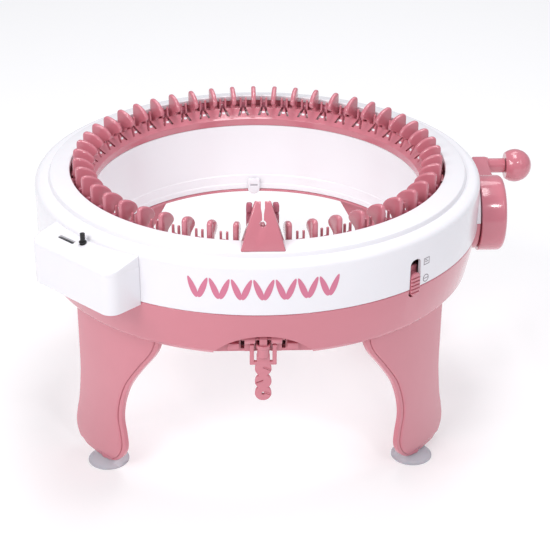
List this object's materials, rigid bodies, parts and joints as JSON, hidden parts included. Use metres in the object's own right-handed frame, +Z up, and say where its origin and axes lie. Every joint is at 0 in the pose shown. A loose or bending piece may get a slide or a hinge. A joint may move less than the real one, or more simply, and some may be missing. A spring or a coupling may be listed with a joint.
{
  "type": "circular knitting machine",
  "caption": "Hand-cranked tabletop circular knitting machine: ring housing with a rotating finned needle cylinder, crank, row counter and suction-cup legs.",
  "frame": {"origin": "middle of the whole outline in plan, at the underside of the suction feet", "axes": "+Z up along the ring axis, -Y towards the front with the yarn guide, +X towards the crank; the ring axis is at X = -28.2 mm, Y = 0"},
  "size_m": [0.3924, 0.336, 0.236],
  "materials": {
    "pink_plastic": "satin moulded dusty-pink plastic",
    "needle_plastic": "satin moulded pink plastic",
    "white_plastic": "glossy moulded white plastic",
    "natural_nylon": "matte natural nylon",
    "black_plastic": "matte black plastic",
    "tinted_window": "polished dark clear window",
    "suction_rubber": "translucent soft vinyl",
    "steel": "zinc-plated steel"
  },
  "bodies": {
    "housing": {"top_cover": "white_plastic", "base_shell": "pink_plastic", "cam_track_ring": "pink_plastic", "yarn_guide": "pink_plastic", "crank_bush": "black_plastic", "counter_case": "white_plastic", "counter_lid": "white_plastic", "counter_window": "tinted_window", "counter_shaft": "steel", "clip_hinge_pin": "pink_plastic", "leg_front_left": "pink_plastic", "leg_front_right": "pink_plastic", "leg_rear_right": "pink_plastic", "leg_rear_left": "pink_plastic", "suction_foot_front_left": "suction_rubber", "suction_foot_front_right": "suction_rubber", "suction_foot_rear_right": "suction_rubber", "suction_foot_rear_left": "suction_rubber", "base_screw_1": "steel", "base_screw_2": "steel", "base_screw_3": "steel", "base_screw_4": "steel", "base_screw_5": "steel", "base_screw_6": "steel"},
    "cylinder": {"needle_bed": "white_plastic", "fin_ring": "pink_plastic", "crown_gear": "natural_nylon", "yarn_tail_clip": "white_plastic"},
    "crank": {"crank_shaft": "steel", "drive_pinion": "natural_nylon", "hub_screw": "steel", "crank_handle": "pink_plastic", "knob_pin": "steel"},
    "knob": {"crank_knob": "pink_plastic"},
    "wheel_units": {"counter_wheel_units": "black_plastic"},
    "wheel_tens": {"counter_wheel_tens": "black_plastic"},
    "wheel_hundreds": {"counter_wheel_hundreds": "black_plastic"},
    "reset_pin": {"counter_reset_pin": "black_plastic"},
    "selector": {"selector_knob": "pink_plastic"},
    "clip": {"tension_clip": "pink_plastic"},
    "needle_01": {"needle_01": "needle_plastic"},
    "needle_02": {"needle_02": "needle_plastic"},
    "needle_03": {"needle_03": "needle_plastic"},
    "needle_04": {"needle_04": "needle_plastic"},
    "needle_05": {"needle_05": "needle_plastic"},
    "needle_06": {"needle_06": "needle_plastic"},
    "needle_07": {"needle_07": "needle_plastic"},
    "needle_08": {"needle_08": "needle_plastic"},
    "needle_09": {"needle_09": "needle_plastic"},
    "needle_10": {"needle_10": "needle_plastic"},
    "needle_11": {"needle_11": "needle_plastic"},
    "needle_12": {"needle_12": "needle_plastic"}
  },
  "joints": [
    {"name": "crank_spin", "type": "hinge", "parent": "housing", "child": "crank", "pos_m": [0.1438, 0, 0.161], "axis": [1, 0, 0], "continuous": true},
    {"name": "cylinder_spin", "type": "hinge", "parent": "housing", "child": "cylinder", "pos_m": [-0.0282, 0, 0.145], "axis": [0, 0, 1], "continuous": true},
    {"name": "knob_spin", "type": "hinge", "parent": "crank", "child": "knob", "pos_m": [0.1828, 0.06805, 0.17178], "axis": [1, 0, 0], "continuous": true},
    {"name": "counter_units_spin", "type": "hinge", "parent": "housing", "child": "wheel_units", "pos_m": [-0.1622, -0.1142, 0.1863], "axis": [0.7071, -0.7071, 0], "continuous": true},
    {"name": "counter_tens_spin", "type": "hinge", "parent": "housing", "child": "wheel_tens", "pos_m": [-0.1622, -0.1142, 0.1863], "axis": [0.7071, -0.7071, 0], "continuous": true},
    {"name": "counter_hundreds_spin", "type": "hinge", "parent": "housing", "child": "wheel_hundreds", "pos_m": [-0.1622, -0.1142, 0.1863], "axis": [0.7071, -0.7071, 0], "continuous": true},
    {"name": "reset_pin_turn", "type": "hinge", "parent": "housing", "child": "reset_pin", "pos_m": [-0.15046, -0.12226, 0.197], "axis": [0, 0, 1], "continuous": true},
    {"name": "selector_slide", "type": "slide", "parent": "housing", "child": "selector", "axis": [0, 0, 1], "range_m": [0, 0.0098]},
    {"name": "tension_clip_fold", "type": "hinge", "parent": "housing", "child": "clip", "pos_m": [-0.0282, -0.157, 0.1404], "axis": [-1, 0, 0], "range_deg": [0, 90]},
    {"name": "needle_01_lift", "type": "slide", "parent": "cylinder", "child": "needle_01", "axis": [0, 0, 1], "range_m": [0, 0.028]},
    {"name": "needle_02_lift", "type": "slide", "parent": "cylinder", "child": "needle_02", "axis": [0, 0, 1], "range_m": [0, 0.028]},
    {"name": "needle_03_lift", "type": "slide", "parent": "cylinder", "child": "needle_03", "axis": [0, 0, 1], "range_m": [0, 0.028]},
    {"name": "needle_04_lift", "type": "slide", "parent": "cylinder", "child": "needle_04", "axis": [0, 0, 1], "range_m": [0, 0.028]},
    {"name": "needle_05_lift", "type": "slide", "parent": "cylinder", "child": "needle_05", "axis": [0, 0, 1], "range_m": [0, 0.028]},
    {"name": "needle_06_lift", "type": "slide", "parent": "cylinder", "child": "needle_06", "axis": [0, 0, 1], "range_m": [-0.028, 0]},
    {"name": "needle_07_lift", "type": "slide", "parent": "cylinder", "child": "needle_07", "axis": [0, 0, 1], "range_m": [-0.028, 0]},
    {"name": "needle_08_lift", "type": "slide", "parent": "cylinder", "child": "needle_08", "axis": [0, 0, 1], "range_m": [0, 0.028]},
    {"name": "needle_09_lift", "type": "slide", "parent": "cylinder", "child": "needle_09", "axis": [0, 0, 1], "range_m": [0, 0.028]},
    {"name": "needle_10_lift", "type": "slide", "parent": "cylinder", "child": "needle_10", "axis": [0, 0, 1], "range_m": [0, 0.028]},
    {"name": "needle_11_lift", "type": "slide", "parent": "cylinder", "child": "needle_11", "axis": [0, 0, 1], "range_m": [0, 0.028]},
    {"name": "needle_12_lift", "type": "slide", "parent": "cylinder", "child": "needle_12", "axis": [0, 0, 1], "range_m": [0, 0.028]}
  ],
  "couplings": [
    {"joint": "cylinder_spin", "follows": "crank_spin", "ratio": 0.083333},
    {"joint": "counter_units_spin", "follows": "crank_spin", "ratio": 0.0083333},
    {"joint": "counter_tens_spin", "follows": "crank_spin", "ratio": 0.00083333}
  ]
}
